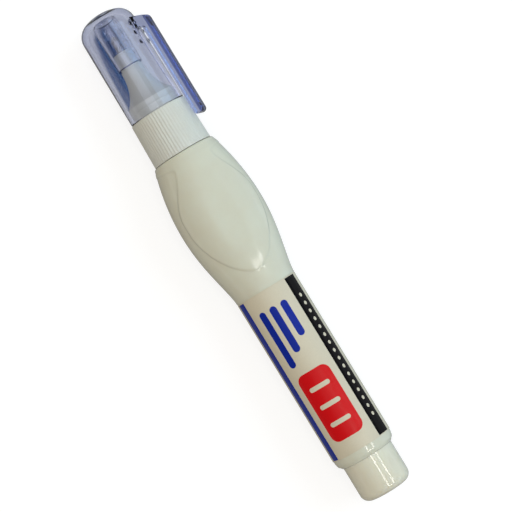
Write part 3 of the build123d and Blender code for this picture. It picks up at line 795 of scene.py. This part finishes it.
class PEN_OT_stage(bpy.types.Operator):
    """Sets the floor, lamps, world and camera"""

    bl_idname = "pen.stage"
    bl_label = "Stage"

    def execute(self, context):
        settings = context.scene.pen_stage
        scene = context.scene
        scene.view_settings.view_transform = "Standard"
        self.add_floor(settings)
        self.add_world(scene)
        across = Vector((0, -math.cos(settings.tilt), math.sin(settings.tilt)))
        along = Vector((math.cos(settings.lead), 0, 0)) + across.cross((1, 0, 0)) * math.sin(settings.lead)
        view = across.cross(along)
        middle = Vector((settings.centre_along, 0, AXIS_HEIGHT)) + across * settings.centre_across
        right = across * math.cos(settings.lean) - along * math.sin(settings.lean)
        up = along * math.cos(settings.lean) + across * math.sin(settings.lean)
        self.add_camera(scene, settings, middle, right, up, view)
        self.add_lamps(middle, along, across, view)
        return {"FINISHED"}

    def add_floor(self, settings):
        """A pale floor that is white to the camera, with the pen's soft shadow left in it.

        Clear plastic also shows a blue painted shadow on it, under the cap, that stands in for the cap's
        tinted shadow."""
        bpy.ops.object.select_all(action="DESELECT")
        bpy.ops.mesh.primitive_plane_add(size=FLOOR_SIZE, location=(0, 0, -FLOOR_DROP))
        floor = bpy.context.object
        floor.name = "floor"
        bpy.ops.object.transform_apply(location=True, rotation=True, scale=True)
        material, tree, output, point = new_material("Pale_floor")
        rays = add_node(tree, "LightPath")
        glow = add_node(tree, "Math", {0: rays.outputs["Is Camera Ray"], 1: CAMERA_GLOW},
                        operation="MULTIPLY")
        glow = add_node(tree, "Math", {0: rays.outputs["Is Glossy Ray"], 1: MIRROR_GLOW, 2: glow.outputs[0]},
                        operation="MULTIPLY_ADD")
        glow = add_node(tree, "Math", {0: rays.outputs["Is Transmission Ray"], 1: CLEAR_GLOW,
                                       2: glow.outputs[0]}, operation="MULTIPLY_ADD")
        # Painted shadow: a blue patch under the cap that only transmission rays see.
        spot = add_node(tree, "Mapping", {"Vector": point, "Location": PAINTED_SHADOW_PLACE, "Rotation": PAINTED_SHADOW_TURN,
                                          "Scale": PAINTED_SHADOW_SIZE}, vector_type="TEXTURE")
        spot = add_node(tree, "VectorMath", {0: spot.outputs["Vector"]}, operation="LENGTH")
        spot = add_node(tree, "MapRange", {"Value": spot.outputs["Value"], "From Min": 0.6, "From Max": 1.15,
                                           "To Min": 1.0, "To Max": 0.0}, interpolation_type="SMOOTHSTEP")
        shade = add_node(tree, "Math", {0: spot.outputs["Result"], 1: rays.outputs["Is Transmission Ray"]},
                         operation="MULTIPLY").outputs[0]
        tone = add_node(tree, "MixRGB", {"Fac": shade, "Color1": linear("#ffffff"),
                                         "Color2": linear(settings.painted_shadow_glow)})
        white = add_node(tree, "Emission", {"Color": tone.outputs["Color"], "Strength": glow.outputs[0]})
        ground = add_node(tree, "MixRGB", {"Fac": shade, "Color1": linear(settings.floor_colour),
                                           "Color2": linear(settings.painted_shadow_colour)})
        matt = add_node(tree, "BsdfDiffuse", {"Color": ground.outputs["Color"]})
        both = add_node(tree, "AddShader", {0: white.outputs[0], 1: matt.outputs[0]})
        tree.links.new(both.outputs[0], output.inputs["Surface"])
        floor.data.materials.append(material)

    def add_world(self, scene):
        """An even room light. Camera, mirror and clear plastic see a white backdrop under a dim ceiling."""
        world = bpy.data.worlds.new("Room")
        world.use_nodes = True
        tree = world.node_tree
        tree.nodes.clear()
        rays = add_node(tree, "LightPath")
        seen = add_node(tree, "Math", {0: rays.outputs["Is Camera Ray"], 1: rays.outputs["Is Glossy Ray"]},
                        operation="MAXIMUM")
        seen = add_node(tree, "Math", {0: seen.outputs[0], 1: rays.outputs["Is Transmission Ray"]},
                        operation="MAXIMUM")
        direction = add_node(tree, "TexCoord").outputs["Generated"]
        height = add_node(tree, "SeparateXYZ", {"Vector": direction}).outputs["Z"]
        backdrop = add_node(tree, "MapRange", {"Value": height, "From Min": BACKDROP_END[0],
                                               "From Max": BACKDROP_END[1], "To Min": 1.0,
                                               "To Max": CEILING_LEVEL})
        level = add_node(tree, "MixRGB", {"Fac": seen.outputs[0], "Color1": ROOM_LIGHT,
                                          "Color2": backdrop.outputs["Result"]})
        light = add_node(tree, "Background", {"Color": level.outputs["Color"]})
        output = add_node(tree, "OutputWorld")
        tree.links.new(light.outputs[0], output.inputs["Surface"])
        scene.world = world

    def add_camera(self, scene, settings, middle, right, up, view):
        """A camera at the photograph's angle."""
        bpy.ops.object.camera_add()
        camera = bpy.context.object
        camera.name = "camera"
        turn = Matrix((right, up, view)).transposed().to_4x4()
        camera.matrix_world = Matrix.Translation(middle + view * settings.distance) @ turn
        camera.data.sensor_width = SENSOR_WIDTH
        camera.data.lens = SENSOR_WIDTH * settings.distance / settings.field
        camera.data.clip_start = 10 * MM
        camera.data.clip_end = 20.0
        scene.camera = camera

    def add_lamps(self, middle, along, across, view):
        """A long frame of four strip lamps on the tail's side, a cool window and an overhead panel.

        The frame gives gloss only. The window, on the clip's side, and the panel give no gloss."""
        warm, cool, white = (1.0, 0.97, 0.92), (0.55, 0.78, 1.0), (1.0, 1.0, 1.0)
        past_tail = middle - along * FRAME_BACK
        for name, target, angle, distance, shift, crosses_pen, size, watts, colour in (
                ("frame_near", past_tail, FRAME_ANGLE, 1.0, -0.23, False, (0.75, 0.1), 2.0, warm),
                ("frame_far", past_tail, FRAME_ANGLE, 1.0, 0.23, False, (0.75, 0.1), 2.0, warm),
                ("frame_tail", past_tail, FRAME_ANGLE, 1.0, 0.375, True, (0.46, 0.2), 2.4, warm),
                ("frame_cap", past_tail, FRAME_ANGLE, 1.0, -0.383, True, (0.46, 0.02), 0.25, warm),
                ("window", middle, 60.0, 1.2, 0.0, False, (1.2, 1.0), 9.6, cool),
                ("panel", middle, -4.0, 1.4, 0.0, False, (1.0, 1.0), 6.5, white)):
            toward = view * math.cos(math.radians(angle)) + across * math.sin(math.radians(angle))
            side = toward.cross(along).normalized()
            length_way, width_way = (side, -along) if crosses_pen else (along, side)
            bpy.ops.object.light_add(type="AREA")
            lamp = bpy.context.object
            lamp.name = name
            lamp.data.shape = "RECTANGLE"
            lamp.data.size, lamp.data.size_y = size
            lamp.data.energy = watts
            lamp.data.color = colour
            lamp.visible_glossy = name.startswith("frame")
            lamp.visible_diffuse = not lamp.visible_glossy
            lamp.matrix_world = (Matrix.Translation(target + toward * distance + width_way * shift)
                                 @ Matrix((length_way, width_way, toward)).transposed().to_4x4())


class PEN_PT_panel(bpy.types.Panel):
    """Lists the pieces of the pen"""

    bl_label = "Correction pen"
    bl_idname = "PEN_PT_panel"
    bl_space_type = "VIEW_3D"
    bl_region_type = "UI"
    bl_category = "Pen"

    def draw(self, context):
        for name, settings_class, operator in PIECES:
            box = self.layout.box()
            box.operator(operator.bl_idname)
            for key in settings_class.__annotations__:
                box.prop(getattr(context.scene, name), key)


PIECES = (
    ("pen_bottle", BottleSettings, PEN_OT_bottle),
    ("pen_label", LabelSettings, PEN_OT_label),
    ("pen_plug", PlugSettings, PEN_OT_plug),
    ("pen_nozzle", NozzleSettings, PEN_OT_nozzle),
    ("pen_tip", TipSettings, PEN_OT_tip),
    ("pen_spring", SpringSettings, PEN_OT_spring),
    ("pen_cap", CapSettings, PEN_OT_cap),
    ("pen_stage", StageSettings, PEN_OT_stage),
)


def register():
    for name, settings_class, operator in PIECES:
        bpy.utils.register_class(settings_class)
        bpy.utils.register_class(operator)
        setattr(bpy.types.Scene, name, PointerProperty(type=settings_class))
    bpy.utils.register_class(PEN_PT_panel)


def unregister():
    bpy.utils.unregister_class(PEN_PT_panel)
    for name, settings_class, operator in reversed(PIECES):
        delattr(bpy.types.Scene, name)
        bpy.utils.unregister_class(operator)
        bpy.utils.unregister_class(settings_class)


def main():
    register()
    bpy.ops.pen.bottle()
    bpy.ops.pen.label()
    bpy.ops.pen.plug()
    bpy.ops.pen.nozzle()
    bpy.ops.pen.tip()
    bpy.ops.pen.spring()
    bpy.ops.pen.cap()
    bpy.ops.pen.stage()


if __name__ == "__main__":
    main()
